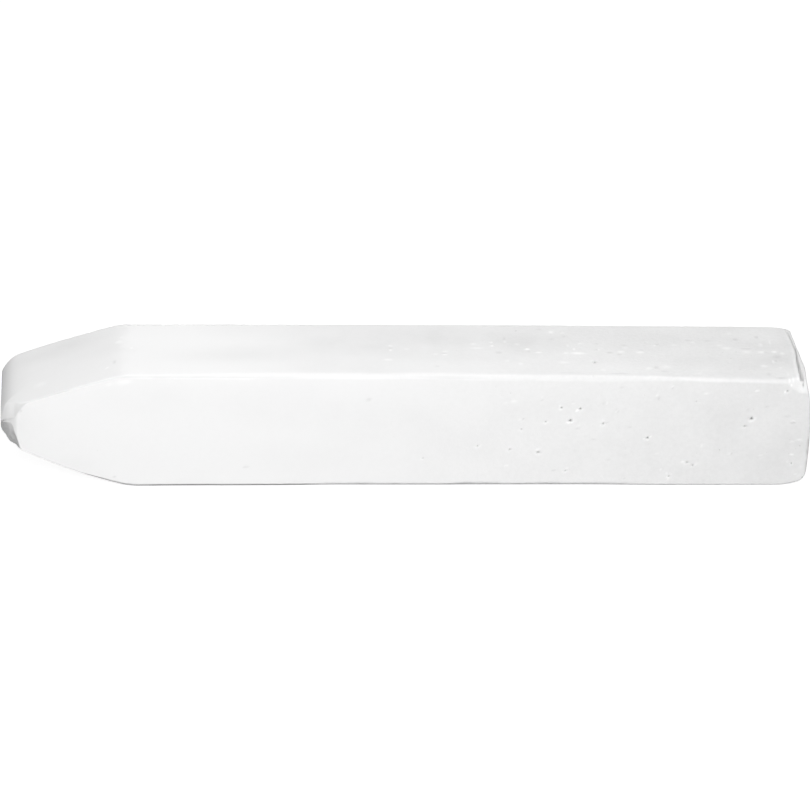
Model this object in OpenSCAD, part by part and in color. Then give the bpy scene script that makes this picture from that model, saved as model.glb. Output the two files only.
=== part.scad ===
// Square stick of blackboard chalk, cast in one piece, with a chisel nose.
// It lies on one long side. +X runs from nose to butt, +Y from the front face
// to the rear face and +Z up. The origin is the middle of its footprint box.

/* [Bar] */
// Length from the nose tip to the crown of the butt
stick_length = 80; // [60:0.5:110]
// Depth from the front face to the rear face
bar_depth = 12; // [9:0.1:16]
// Height of the bar at the shoulder
shoulder_height = 12.2; // [9:0.05:16]
// Fall of the top's front edge from the shoulder to the butt
front_fall = 0.55; // [0:0.05:1.5]
// Fall of the top's rear edge from the shoulder to the butt
rear_fall = 0.35; // [0:0.05:1.5]
// Distance from the tip at which the top starts to fall
fall_start = 24; // [16:1:45]
// Power of that fall: 1 is straight, more falls mostly near the butt
fall_power = 1.6; // [1:0.1:3]

/* [Nose] */
// Distance from the tip to the shoulder line on the top
top_taper = 11.7; // [7:0.1:16]
// Distance from the tip to where the underside meets the resting face
under_taper = 12.6; // [7:0.1:16]
// Height of the nose where the two tapers reach the tip
nose_height = 3.2; // [2.4:0.05:5]
// Height of the nose's middle above the bar's middle
nose_lift = 0.7; // [-1:0.05:1.5]
// Swell of the top taper
top_swell = 0.12; // [0:0.02:0.5]
// Swell of the taper underneath
under_swell = 0.44; // [0:0.02:0.8]
// Softness of the shoulder on the top
top_blend = 0.23; // [0.05:0.01:0.6]
// Softness of the shoulder underneath
under_blend = 0.34; // [0.05:0.01:0.6]
// How far the rounding of the nose's upper edge reaches along the stick
brow_reach = 1.2; // [0.4:0.05:2.5]
// How far that rounding drops
brow_drop = 0.8; // [0.2:0.05:1]
// How far the rounding of the nose's lower edge reaches along the stick
chin_reach = 0.9; // [0.4:0.05:3]
// How far that rounding rises
chin_rise = 0.55; // [0.2:0.05:1]
// How far the bevel on the front of the nose reaches along the stick
cheek_reach = 1.6; // [0.6:0.05:3]
// How far that bevel goes in from the front face
cheek_depth = 1.5; // [0.3:0.05:2.5]
// How far the rounding on the rear of the nose reaches along the stick
rear_cheek_reach = 1.75; // [0.6:0.05:3]
// How far that rounding goes in from the rear face
rear_cheek_depth = 1.2; // [0.3:0.05:2.5]

/* [Long edges] */
// Radius of the long edges at the nose
nose_edge = 0.42; // [0.15:0.01:0.9]
// Radius of the long edges at the butt
butt_edge = 0.26; // [0.1:0.01:0.9]
// How much larger the radius of the rear edges is at the tip
tip_softness = 0.35; // [0:0.05:0.8]
// Distance from the tip over which that dies out
tip_reach = 2.5; // [1:0.1:5]

/* [Worn front corner of the nose] */
// Height of the fan, the flat between the top taper and the front face
fan_height = 1.2; // [0.3:0.05:1.6]
// How far the fan goes in from the front face
fan_depth = 0.8; // [0.3:0.05:1.5]
// Distance from the tip at which the fan starts to close
fan_start = 1.3; // [0.5:0.05:2]
// Length over which it closes
fan_reach = 1.5; // [0.5:0.05:3]
// Height of the chip's ridge above the nose's middle, at the tip
chip_ridge = -0.25; // [-0.6:0.05:0.8]
// Rise of that ridge for each millimetre away from the tip
chip_slope = 0.5; // [0:0.05:1]
// Distance from the tip to the foot of the chip
chip_reach = 2.05; // [1.4:0.05:4]
// Length over which the ridge comes down to that foot
chip_foot = 1; // [0.4:0.05:1.4]
// How far the chip goes in from the bevel
chip_depth = 0.7; // [0.5:0.05:2]

/* [Butt] */
// How far the top and the underside stand back from the crown of the butt
butt_bulge = 0.4; // [0:0.02:0.7]
// Distance from the butt over which that bulge dies out
bulge_reach = 3; // [2:0.1:8]
// Height of the crown of the butt above the resting face
crown_height = 4.8; // [3:0.1:7]
// How far the upper rear corner is worn back
corner_wear = 0.65; // [0:0.05:0.9]
// How far that wear reaches along the stick
wear_length = 2; // [1.2:0.1:5]
// How far it reaches forward from the rear face
wear_depth = 9; // [4:0.1:12]
// How far it reaches down from the top
wear_height = 4; // [2:0.1:8]
// Distance from the butt over which its faces roll off
roll_reach = 3.2; // [1.5:0.1:8]
// How far the underside rises there
under_roll = 0.7; // [0:0.05:1.5]
// How far the top's front edge drops there
front_roll = 0.1; // [0:0.05:1]
// How far the top's rear edge drops there
rear_roll = 0.5; // [0:0.05:1]
// Radius of the butt's upper edge
upper_round = 0.5; // [0.15:0.05:1.2]
// Radius of the butt's lower edge
lower_round = 0.9; // [0.15:0.05:1.5]
// Radius of the butt's front and rear edges
side_round = 0.4; // [0.15:0.05:1.2]

/* [Score] */
// Distance from the crown of the butt to the score across the top
score_place = 1.2; // [0.9:0.05:3]
// Distance from the front face at which the score starts
score_margin = 0.5; // [0.3:0.05:2]
// Width of the score at the front
score_width = 0.26; // [0.15:0.01:0.6]
// Depth of the score at the front
score_depth = 0.22; // [0.1:0.01:0.5]
// Share of that width and depth left at the rear
score_thinning = 0.15; // [0.1:0.01:1]

/* [Hidden] */
// Steps along the nose, the tapers, the bar and the butt
nose_steps = 11;
taper_steps = 10;
bar_steps = 10;
butt_steps = 10;
// How much the steps crowd towards the tip and towards the butt
nose_crowding = 1.6;
butt_crowding = 1.8;
// Steps round each corner, up each side, and across the top and the underside
corner_steps = 5;
side_steps = 5;
flat_steps = 3;
// Rings that close each end
end_rings = 4;
// Power that makes a form die out almost straight, and one that makes it soft
straight_power = 1.25;
soft_power = 2;
// Largest shares of a section's height that the chip and a rear edge may take
chip_limit = 0.6;
rear_limit = 0.45;
// Share of its height below which the chip loses its depth
chip_hold = 0.5;
// Least height of the front face between the chip and the fan
least_face = 0.05;
// Lengths at which the nose's forms, and the shoulders' blends, have ended
form_room = 0.1;
blend_room = 1;
nose_zone = form_room + max(
    brow_reach, chin_reach, cheek_reach, rear_cheek_reach, chip_reach, fan_start + fan_reach
);
bar_start = max(top_taper, under_taper) + blend_room;
bar_middle = shoulder_height / 2;
nose_middle = bar_middle + nose_lift;
butt_height = shoulder_height - (front_fall + rear_fall) / 2;
// Height of the V above its point, well clear of the top
score_rise = 1.2;

// Ramp that follows a where a is well above zero, and is zero below -k
function ramp(a, k) = a > k ? a : a < -k ? 0 : pow(a + k, 2) / (4 * k);
// 1 at the start of a stretch, 0 at its end and beyond
function fade(t, reach) = max(0, min(1, 1 - t / reach));
// Inset of an elliptical rounding: drop at the end of the stick, 0 from reach on
function rounding(t, reach, drop) = drop * (1 - sqrt(1 - pow(fade(t, reach), 2)));
// Swell of a taper: 0 at both of its ends, the full size half way
function swell(t, taper, size) = size * 4 * fade(t, taper) * (1 - fade(t, taper));

// How much of the fall, and of the roll at the butt, has come about, 0 to 1
function fall_share(t) =
    pow(max(0, t - fall_start) / (stick_length - fall_start), fall_power);
function roll_share(t) = pow(fade(stick_length - t, roll_reach), soft_power);

// Heights of the two tapers' faces, as far as their shoulders
function top_drop(t) =
    ramp((shoulder_height - nose_middle - nose_height / 2) * (1 - t / top_taper), top_blend)
    - swell(t, top_taper, top_swell);
function under_rise(t) =
    max(0, ramp((nose_middle - nose_height / 2) * (1 - t / under_taper), under_blend)
        - swell(t, under_taper, under_swell));

// Height of the top at mid depth, and of the underside
function top_line(t) =
    shoulder_height
    - top_drop(t)
    - rounding(t, brow_reach, brow_drop)
    - (front_fall + rear_fall) / 2 * fall_share(t)
    - (front_roll + rear_roll) / 2 * roll_share(t)
    - rounding(stick_length - t, upper_round, upper_round);
function under_line(t) =
    under_rise(t)
    + chin_rise * pow(fade(t, chin_reach), soft_power)
    + under_roll * roll_share(t)
    + rounding(stick_length - t, lower_round, lower_round);
// Rise of the top from its front edge to its rear edge
function top_tilt(t) =
    (front_fall - rear_fall) * fall_share(t) + (front_roll - rear_roll) * roll_share(t);

// Places of the front and rear faces
function front_line(t) =
    -bar_depth / 2
    + cheek_depth * pow(fade(t, cheek_reach), straight_power)
    + rounding(stick_length - t, side_round, side_round);
function rear_line(t) =
    bar_depth / 2
    - rear_cheek_depth * pow(fade(t, rear_cheek_reach), soft_power)
    - rounding(stick_length - t, side_round, side_round);

// Radius of the long edges
function edge_line(t) = nose_edge + (butt_edge - nose_edge) * t / stick_length;
// 1 along the chip's ridge, falling to 0 at its foot
function chip_share(t) = pow(fade(t - chip_reach + chip_foot, chip_foot), straight_power);
// 1 where the fan is whole, falling to 0 where it has closed
function fan_share(t) = pow(fade(t - fan_start, fan_reach), soft_power);

// Quarter ellipse round c from angle a, pressed onto its chord by share p
function corner(c, r, a, p) = [
    for (i = [0 : corner_steps])
        let (u = i / corner_steps,
             arc = [r[0] * cos(a + 90 * u), r[1] * sin(a + 90 * u)],
             first = [r[0] * cos(a), r[1] * sin(a)],
             last = [r[0] * cos(a + 90), r[1] * sin(a + 90)],
             chord = first + (last - first) * u)
        c + arc + (chord - arc) * p
];
// Points between a and b, both left out
function between(a, b, n) = [for (i = [1 : n - 1]) a + (b - a) * i / n];

// Section at distance t from the tip, as [y, z] points that run up the front
// face, back over the top, down the rear face and forward underneath
function section(t) =
    let (top = top_line(t),
         under = under_line(t),
         front = front_line(t),
         rear = rear_line(t),
         edge = edge_line(t),
         tall = top - under,
         chip = chip_share(t),
         held = min(1, chip / chip_hold),
         ridge = nose_middle + chip_ridge + chip_slope * t,
         chip_z = min(edge + max(0, ridge - under - edge) * chip, tall * chip_limit),
         chip_y = edge + (chip_depth - edge) * held,
         fan_z = min(edge + fan_height * fan_share(t), tall - chip_z - least_face),
         fan_y = edge + fan_depth * fan_share(t),
         soft = edge + tip_softness * pow(fade(t, tip_reach), soft_power),
         soft_z = min(soft, tall * rear_limit),
         a = corner([front + chip_y, under + chip_z], [chip_y, chip_z], 180, held),
         b = corner([front + fan_y, top - fan_z], [fan_y, fan_z], 90, 0),
         c = corner([rear - soft, top - soft_z], [soft, soft_z], 0, 0),
         d = corner([rear - soft, under + soft_z], [soft, soft_z], 270, 0),
         n = corner_steps,
         turned = function (list) [for (i = [n : -1 : 0]) list[i]])
    concat(
        turned(a), between(a[0], b[n], side_steps),
        turned(b), between(b[0], c[n], flat_steps),
        turned(c), between(c[0], d[n], side_steps),
        turned(d), between(d[0], a[n], flat_steps)
    );

// Point of the surface at distance t from the tip, for the section point p
function place(t, p) =
    let (z = p[1] * (1 + top_tilt(t) * p[0] / bar_depth / top_line(t)),
         back = stick_length - t,
         bulge = butt_bulge * pow(fade(back, bulge_reach), 2)
            * pow((z - crown_height) / bar_middle, 2),
         wear = corner_wear * fade(back, wear_length)
            * fade(bar_depth / 2 - p[0], wear_depth) * fade(butt_height - z, wear_height))
    [t - bulge - wear - stick_length / 2, p[0], z];

// Distances from the tip: close together on the rounded ends
stations = concat(
    [for (i = [0 : nose_steps - 1]) nose_zone * pow(i / nose_steps, nose_crowding)],
    [for (i = [0 : taper_steps - 1]) nose_zone + (bar_start - nose_zone) * i / taper_steps],
    [for (i = [0 : bar_steps - 1])
        bar_start + (stick_length - roll_reach - bar_start) * i / bar_steps],
    [for (i = [0 : butt_steps])
        stick_length - roll_reach * pow(1 - i / butt_steps, butt_crowding)]
);
ring_size = 4 * (corner_steps + 1) + 2 * (side_steps - 1) + 2 * (flat_steps - 1);

// Ring of a section drawn in to share k about its own middle
function ring(t, k) =
    let (s = section(t),
         middle = [(front_line(t) + rear_line(t)) / 2, (top_line(t) + under_line(t)) / 2])
    [for (p = s) place(t, middle + (p - middle) * k)];
rings = concat(
    [for (i = [1 : end_rings]) ring(0, i / (end_rings + 1))],
    [for (t = stations) ring(t, 1)],
    [for (i = [end_rings : -1 : 1]) ring(stick_length, i / (end_rings + 1))]
);

// The bare casting: one skin through all rings, closed by a fan at both ends
module casting() {
    count = len(rings);
    tip_point = count * ring_size;
    butt_point = tip_point + 1;
    last = (count - 1) * ring_size;
    points = concat([for (r = rings) each r], [ring(0, 0)[0], ring(stick_length, 0)[0]]);
    skin = [
        for (i = [0 : count - 2], j = [0 : ring_size - 1])
            let (k = (j + 1) % ring_size,
                 a = i * ring_size + j,
                 b = i * ring_size + k,
                 c = b + ring_size,
                 d = a + ring_size)
            each [[a, b, c], [a, c, d]]
    ];
    tip_end = [for (j = [0 : ring_size - 1]) [tip_point, (j + 1) % ring_size, j]];
    butt_end = [
        for (j = [0 : ring_size - 1]) [butt_point, last + j, last + (j + 1) % ring_size]
    ];
    polyhedron(points = points, faces = concat(tip_end, skin, butt_end));
}

// Score across the top beside the butt: a straight V cut, thinnest at the rear
module score() {
    front_low = shoulder_height - front_fall - front_roll - score_depth;
    rear_low = shoulder_height - rear_fall - rear_roll - score_depth * score_thinning;
    climb = atan((rear_low - front_low) / bar_depth);
    half = score_width / 2 / score_depth * score_rise;
    intersection() {
        translate([stick_length / 2 - score_place, 0, (front_low + rear_low) / 2])
            rotate([90 + climb, 0, 0])
                linear_extrude(height = 2 * bar_depth, center = true)
                    polygon([[0, 0], [half, score_rise], [-half, score_rise]]);
        translate([0, score_margin - bar_depth / 2, 0])
            cube([stick_length, 2 * bar_depth, 2 * shoulder_height]);
    }
}

module chalk_stick() {
    color([0.95, 0.95, 0.94])
        difference() {
            casting();
            score();
        }
}

chalk_stick();
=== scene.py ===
import math

import bpy
import numpy as np
from mathutils import Matrix, Vector


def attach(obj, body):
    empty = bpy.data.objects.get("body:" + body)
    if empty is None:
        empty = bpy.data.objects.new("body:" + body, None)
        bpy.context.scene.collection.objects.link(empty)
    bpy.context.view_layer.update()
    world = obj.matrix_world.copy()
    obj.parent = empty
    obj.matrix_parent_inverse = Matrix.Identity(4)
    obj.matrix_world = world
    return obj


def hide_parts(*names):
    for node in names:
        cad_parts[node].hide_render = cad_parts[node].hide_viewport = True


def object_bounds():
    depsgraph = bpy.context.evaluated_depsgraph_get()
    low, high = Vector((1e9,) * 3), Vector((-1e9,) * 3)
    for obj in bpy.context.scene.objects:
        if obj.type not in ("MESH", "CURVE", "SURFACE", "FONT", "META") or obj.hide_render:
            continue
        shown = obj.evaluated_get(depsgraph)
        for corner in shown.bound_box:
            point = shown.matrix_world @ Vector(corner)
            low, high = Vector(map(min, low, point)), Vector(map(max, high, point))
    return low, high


# One square stick of white blackboard chalk with a chisel nose, lying on a long side.
# Lengths are in millimetres until makeMesh turns them into metres.
# +X runs from nose to butt, +Y from the front face to the rear face, +Z up.

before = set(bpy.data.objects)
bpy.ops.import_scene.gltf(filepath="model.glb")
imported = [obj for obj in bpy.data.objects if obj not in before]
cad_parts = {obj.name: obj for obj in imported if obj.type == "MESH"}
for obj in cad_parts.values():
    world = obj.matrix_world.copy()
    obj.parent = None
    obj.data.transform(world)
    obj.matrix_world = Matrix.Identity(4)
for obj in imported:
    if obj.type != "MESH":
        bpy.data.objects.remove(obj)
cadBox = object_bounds()
mm = 0.001

bpy.context.scene.view_settings.view_transform = "Standard"


view = {
    "azimuth": -4.15,      # degrees, seen a little from the nose's side
    "elevation": 26.39,
    "roll": 1.79,
    "distance": 498.4,
    "aim": (0.095, 0.0, 6.03),
    "lens": 222.35,
}


def makeCamera(v):
    data = bpy.data.cameras.new("camera")
    data.lens = v["lens"]
    data.sensor_width = 36.0
    data.clip_start = 0.02
    data.clip_end = 20.0
    camera = bpy.data.objects.new("camera", data)
    turn = (
        Matrix.Rotation(math.radians(v["azimuth"]), 4, "Z")
        @ Matrix.Rotation(math.radians(90.0 - v["elevation"]), 4, "X")
        @ Matrix.Rotation(math.radians(v["roll"]), 4, "Z")
    )
    away = (turn @ Vector((0.0, 0.0, 1.0, 0.0))).to_3d()
    place = Vector(v["aim"]) * mm + away * v["distance"] * mm
    camera.matrix_world = Matrix.Translation(place) @ turn
    bpy.context.scene.collection.objects.link(camera)
    bpy.context.scene.camera = camera


makeCamera(view)
print("camera placed")


# the stick's form: its casting's sizes, with finer edges and ends; a key that ends in Share,
# Flat, Slope, Power or Gain, chipHold, riseFrom and straight are plain numbers
stick = {
    "length": 80.0, "depth": 12.0, "shoulder": 12.2,        # the bar
    "frontFall": 0.55, "rearFall": 0.35, "fallStart": 24.0, "fallPower": 1.6,
    "topTaper": 11.7, "underTaper": 12.6,                   # the chisel nose
    "noseHeight": 3.2, "noseLift": 0.7,
    "topSwell": 0.12, "underSwell": 0.44, "topBlend": 0.23, "underBlend": 0.34,
    "browReach": 1.2, "browDrop": 0.55, "browSoftness": 0.25, "browSoftReach": 2.8,
    "chinReach": 0.9, "chinRise": 0.55,
    "cheekReach": 1.6, "cheekDepth": 1.5, "rearCheekReach": 1.75, "rearCheekDepth": 1.2,
    "cheekLean": 1.12, "leanFrom": 7.3, "leanHeight": 2.03, "leanDepth": 2.5,
    "noseEdge": 0.42, "buttEdge": 0.26, "tipSoftness": 0.25, "tipReach": 2.5, "softShare": 0.45,
    "nearRise": 0.16, "riseStretch": (24.0, 38.0, 66.0, 71.0),              # near-top edge
    "nearDrop": 0.12, "dropStretch": (73.0, 78.0), "riseDepth": 3.0, "riseFrom": 0.8,
    "footEdge": 0.07, "footSharpTo": 6.0, "footWornFrom": 12.0,             # near-lower edge
    "bevelStretch": (27.0, 34.0, 57.0, 66.0), "bevelExtra": 0.06, "bevelFlat": 0.55,
    "fanHeight": 1.3, "fanDepth": 0.9, "fanStart": 1.3, "fanEnd": 2.62,     # worn front corner
    "fanPower": 1.4, "fanFlat": 0.9,
    "chipRidge": -0.30, "chipSlope": 0.5, "chipReach": 2.05, "chipFoot": 1.0,   # chip below it
    "chipDepth": 0.52, "chipHold": 0.5, "chipShare": 0.6, "straight": 1.25, "leastFront": 0.05,
    "buttBulge": 0.4, "bulgeReach": 3.0, "crownHeight": 4.8,               # butt
    "cornerWear": 0.40, "wearLength": 2.0, "wearDepth": 9.0, "wearHeight": 4.0,
    "nearWear": 0.24, "nearWearDepth": 3.5, "nearWearHeight": 2.5,
    "rollReach": 3.2, "underRoll": 0.7, "frontRoll": 0.1, "rearRoll": 0.38,
    "upperRound": 0.12, "lowerRound": 0.8, "sideRound": 0.25,
    "facetHeight": 1.0, "facetDepth": 0.12, "facetStart": 1.1, "facetReach": 1.5, "facetGain": 4.0,
}

# how the near-top edge is worn: distance from the tip, then the depth, the height and the
# flat share of its rounding there
nearEdge = np.array([
    (0.0, 0.09, 0.09, 0.0), (7.0, 0.09, 0.09, 0.0), (12.5, 0.38, 0.22, 0.0), (19.0, 0.50, 0.24, 0.1),
    (24.0, 0.62, 0.28, 0.3), (31.5, 0.80, 0.34, 0.5), (37.0, 0.82, 0.34, 0.5), (43.0, 0.80, 0.40, 0.3),
    (48.0, 0.70, 0.46, 0.1), (53.0, 0.56, 0.58, 0.0), (61.0, 0.54, 0.58, 0.0), (66.0, 0.50, 0.42, 0.0),
    (71.5, 0.66, 0.34, 0.0), (80.0, 0.60, 0.30, 0.0),
])

mesh = {
    "noseSteps": 42, "taperSteps": 44, "smoothSteps": 84,                  # along the stick
    "markedSteps": 216, "buttSteps": 62, "noseReach": 2.9, "nosePower": 1.5, "buttPower": 1.4,
    "chipSteps": 18, "cornerSteps": 8,                                     # round a section
    "frontSteps": 64, "topSteps": 72, "topGather": 0.4, "rearSteps": 22, "underSteps": 8,
    "endRings": 9, "pitReach": 0.8, "pitPull": 0.72,
}


# 1 at the start of a stretch, falling straight to 0 at its end
def fade(t, reach):
    return np.clip(1.0 - t / reach, 0.0, 1.0)


# 0 at a, 1 at b, and 3u² - 2u³ between them
def smoothStep(x, a, b):
    u = np.clip((x - a) / (b - a), 0.0, 1.0)
    return u * u * (3.0 - 2.0 * u)


# 0 up to a, 1 from b to c and 0 from d on, with smooth steps between
def stretch(x, a, b, c, d):
    return smoothStep(x, a, b) * smoothStep(x, d, c)


# a where it is above k, 0 below -k, and the parabola (a + k)² / 4k between them
def ramp(a, k):
    return np.where(a > k, a, np.where(a < -k, 0.0, (a + k) ** 2 / (4.0 * k)))


# quarter of an ellipse: drop at the start of the stretch, 0 at its end
def rounding(t, reach, drop):
    return drop * (1.0 - np.sqrt(1.0 - fade(t, reach) ** 2))


# parabola along a taper: 0 at both ends, size half way
def swell(t, taper, size):
    return size * 4.0 * fade(t, taper) * (1.0 - fade(t, taper))


# shares from 0 to 1 of the top's fall along the bar, and of the roll at the butt
def fallShare(t, s):
    run = np.clip(t - s["fallStart"], 0.0, None) / (s["length"] - s["fallStart"])
    return run ** s["fallPower"]


def rollShare(t, s):
    return fade(s["length"] - t, s["rollReach"]) ** 2


# height of the top: shoulder less the ramp of the taper, the brow's quarter ellipse and
# parabola, the fall along the bar, and the roll and rounding of the butt
def topLine(t, s):
    rise = s["shoulder"] / 2.0 - s["noseLift"] - s["noseHeight"] / 2.0
    back = s["length"] - t
    return (
        s["shoulder"]
        - ramp(rise * (1.0 - t / s["topTaper"]), s["topBlend"])
        + swell(t, s["topTaper"], s["topSwell"])
        - rounding(t, s["browReach"], s["browDrop"])
        - s["browSoftness"] * fade(t, s["browSoftReach"]) ** 2
        - (s["frontFall"] + s["rearFall"]) / 2.0 * fallShare(t, s)
        - (s["frontRoll"] + s["rearRoll"]) / 2.0 * rollShare(t, s)
        - rounding(back, s["upperRound"], s["upperRound"])
    )


# height of the underside: ramp of its taper, chin, roll and end rounding
def underLine(t, s):
    rise = s["shoulder"] / 2.0 + s["noseLift"] - s["noseHeight"] / 2.0
    back = s["length"] - t
    taper = ramp(rise * (1.0 - t / s["underTaper"]), s["underBlend"])
    return (
        np.clip(taper - swell(t, s["underTaper"], s["underSwell"]), 0.0, None)
        + s["chinRise"] * fade(t, s["chinReach"]) ** 2
        + s["underRoll"] * rollShare(t, s)
        + rounding(back, s["lowerRound"], s["lowerRound"])
    )


# places of the front and rear faces: half the depth less the cheeks and the end rounding
def frontLine(t, s):
    back = s["length"] - t
    return (
        -s["depth"] / 2.0
        + s["cheekDepth"] * fade(t, s["cheekReach"]) ** s["straight"]
        + rounding(back, s["sideRound"], s["sideRound"])
    )


def rearLine(t, s):
    back = s["length"] - t
    return (
        s["depth"] / 2.0
        - s["rearCheekDepth"] * fade(t, s["rearCheekReach"]) ** 2
        - rounding(back, s["sideRound"], s["sideRound"])
    )


# quarter ellipse about (cy, cz) from angle start, pressed onto its chord by a share that
# goes from flat to flatLast; one row for each section, run backwards so that the ring goes
# front, top, rear, under
def corner(cy, cz, ry, rz, start, flat, flatLast, steps):
    u = np.linspace(1.0, 0.0, steps + 1)[None, :]
    angle = np.radians(start + 90.0 * u)
    first, last = math.radians(start), math.radians(start + 90.0)
    cosine, sine = np.cos(angle), np.sin(angle)
    chordY = math.cos(first) + (math.cos(last) - math.cos(first)) * u
    chordZ = math.sin(first) + (math.sin(last) - math.sin(first)) * u
    press = flatLast + (flat - flatLast) * u
    y = cy + ry * (cosine + (chordY - cosine) * press)
    z = cz + rz * (sine + (chordZ - sine) * press)
    return np.stack([y, z], axis=-1)


# straight run from the last point of ring part a to the first of b, both left out:
# a (1 - u) + b u, with u + gather sin(2πu) / 2π for u so that points gather at its middle
def between(a, b, steps, gather=0.0):
    u = np.linspace(0.0, 1.0, steps + 1)[1:-1][None, :, None]
    u = u + gather * np.sin(2.0 * np.pi * u) / (2.0 * np.pi)
    return a[:, -1:, :] * (1.0 - u) + b[:, :1, :] * u


# sections at distances t from the tip: four rounded corners joined by straight runs,
# as an array [section, point, (y, z)]
def sections(t, s, m):
    t = t[:, None]
    top, under = topLine(t, s), underLine(t, s)
    front, rear = frontLine(t, s), rearLine(t, s)
    tall = top - under
    edge = s["noseEdge"] + (s["buttEdge"] - s["noseEdge"]) * t / s["length"]
    # near-lower edge: sharp behind the nose, bevelled along the middle, broken away at the chip
    bevel = stretch(t, *s["bevelStretch"])
    foot = s["footEdge"] + (edge - s["footEdge"]) * smoothStep(t, s["footSharpTo"], s["footWornFrom"])
    foot = foot + s["bevelExtra"] * bevel
    chip = fade(t - s["chipReach"] + s["chipFoot"], s["chipFoot"]) ** s["straight"]
    held = np.minimum(1.0, chip / s["chipHold"])
    ridge = s["shoulder"] / 2.0 + s["noseLift"] + s["chipRidge"] + s["chipSlope"] * t
    chipZ = foot + np.clip(ridge - under - foot, 0.0, None) * chip
    chipZ = np.minimum(chipZ, tall * s["chipShare"])
    chipY = foot + (s["chipDepth"] - foot) * held
    chipFlat = np.maximum(held, s["bevelFlat"] * bevel)
    # near-top edge: worn, cut back to a fan at the tip and to a facet at the butt
    wornY, wornZ, wornFlat = [np.interp(t, nearEdge[:, 0], nearEdge[:, k]) for k in (1, 2, 3)]
    fan = np.clip((s["fanEnd"] - t) / (s["fanEnd"] - s["fanStart"]), 0.0, 1.0) ** s["fanPower"]
    facet = fade(s["length"] - t - s["facetStart"], s["facetReach"])
    fanZ = wornZ + s["fanHeight"] * fan + s["facetHeight"] * facet
    fanZ = np.minimum(fanZ, tall - chipZ - s["leastFront"])
    fanY = wornY + s["fanDepth"] * fan + s["facetDepth"] * facet
    fanFlat = s["fanFlat"] * np.maximum(fan, np.minimum(1.0, s["facetGain"] * facet))
    fanFlat = np.maximum(fanFlat, wornFlat)
    # both far edges
    soft = edge + s["tipSoftness"] * fade(t, s["tipReach"]) ** 2
    softZ = np.minimum(soft, tall * s["softShare"])
    n = m["cornerSteps"]
    a = corner(front + chipY, under + chipZ, chipY, chipZ, 180.0, chipFlat, chipFlat, m["chipSteps"])
    b = corner(front + fanY, top - fanZ, fanY, fanZ, 90.0, fanFlat, wornFlat, n)
    c = corner(rear - soft, top - softZ, soft, softZ, 0.0, 0.0, 0.0, n)
    d = corner(rear - soft, under + softZ, soft, softZ, 270.0, 0.0, 0.0, n)
    return np.concatenate([
        a, between(a, b, m["frontSteps"]),
        b, between(b, c, m["topSteps"], m["topGather"]),
        c, between(c, d, m["rearSteps"]),
        d, between(d, a, m["underSteps"]),
    ], axis=1)


# turns section points into places: tilts the top, slants the cheek back towards the top,
# raises the near edge along its middle and lowers its end, domes the butt and wears its corners
def place(t, yz, s):
    t = np.broadcast_to(t[:, None], yz.shape[:2])
    y, z = yz[..., 0], yz[..., 1]
    tilt = (
        (s["frontFall"] - s["rearFall"]) * fallShare(t, s)
        + (s["frontRoll"] - s["rearRoll"]) * rollShare(t, s)
    )
    top = topLine(t, s)
    z = z * (1.0 + tilt * y / s["depth"] / top)
    lean = np.clip((z - s["leanFrom"]) / s["leanHeight"], 0.0, 1.0) ** 2
    reach = s["cheekReach"] + s["cheekLean"] * lean
    deeper = fade(t, reach) ** s["straight"] - fade(t, s["cheekReach"]) ** s["straight"]
    y = y + s["cheekDepth"] * deeper * fade(y - frontLine(t, s), s["leanDepth"])
    rise = s["nearRise"] * stretch(t, *s["riseStretch"]) - s["nearDrop"] * smoothStep(t, *s["dropStretch"])
    nearTop = fade(y + s["depth"] / 2.0, s["riseDepth"]) ** 2 * smoothStep(z / top, s["riseFrom"], 1.0)
    z = z + rise * nearTop
    back = s["length"] - t
    half = s["shoulder"] / 2.0
    bulge = (
        s["buttBulge"] * fade(back, s["bulgeReach"]) ** 2
        * ((z - s["crownHeight"]) / half) ** 2
    )
    buttTop = s["shoulder"] - (s["frontFall"] + s["rearFall"]) / 2.0
    wear = (
        s["cornerWear"] * fade(back, s["wearLength"])
        * fade(s["depth"] / 2.0 - y, s["wearDepth"]) * fade(buttTop - z, s["wearHeight"])
    )
    wear = wear + (
        s["nearWear"] * fade(back, s["wearLength"])
        * fade(s["depth"] / 2.0 + y, s["nearWearDepth"]) * fade(buttTop - z, s["nearWearHeight"])
    )
    return np.stack([t - bulge - wear - s["length"] / 2.0, y, z], axis=-1)


# distances of the sections from the tip, gathered towards both rounded ends by a power and
# closer on the butt's half, which has more marks
def stations(s, m):
    nose = m["noseReach"]
    bar = max(s["topTaper"], s["underTaper"]) + 1.0         # a little past the nose
    half = s["length"] / 2.0 - 4.0                          # a little before the middle
    butt = s["length"] - s["rollReach"]
    left = 1.0 - np.arange(m["buttSteps"] + 1) / m["buttSteps"]
    return np.concatenate([
        nose * (np.arange(m["noseSteps"]) / m["noseSteps"]) ** m["nosePower"],
        nose + (bar - nose) * np.arange(m["taperSteps"]) / m["taperSteps"],
        bar + (half - bar) * np.arange(m["smoothSteps"]) / m["smoothSteps"],
        half + (butt - half) * np.arange(m["markedSteps"]) / m["markedSteps"],
        s["length"] - s["rollReach"] * left ** m["buttPower"],
    ])


# the whole skin as an array [ring, point, (x, y, z)]: rings drawn in towards the middle
# close the tip and the butt, and the sections between them carry the body
def skin(s, m):
    t = stations(s, m)
    body = place(t, sections(t, s, m), s)
    shrink = np.arange(1, m["endRings"] + 1)[:, None, None] / (m["endRings"] + 1.0)
    ends = []
    for end in (0.0, s["length"]):
        te = np.full(m["endRings"], end)
        ring = sections(te, s, m)
        middle = np.stack([
            (frontLine(te, s) + rearLine(te, s)) / 2.0,
            (topLine(te, s) + underLine(te, s)) / 2.0,
        ], axis=-1)[:, None, :]
        ends.append(place(te, middle + (ring - middle) * shrink, s))
    return np.concatenate([ends[0], body, ends[1][::-1]])


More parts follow.
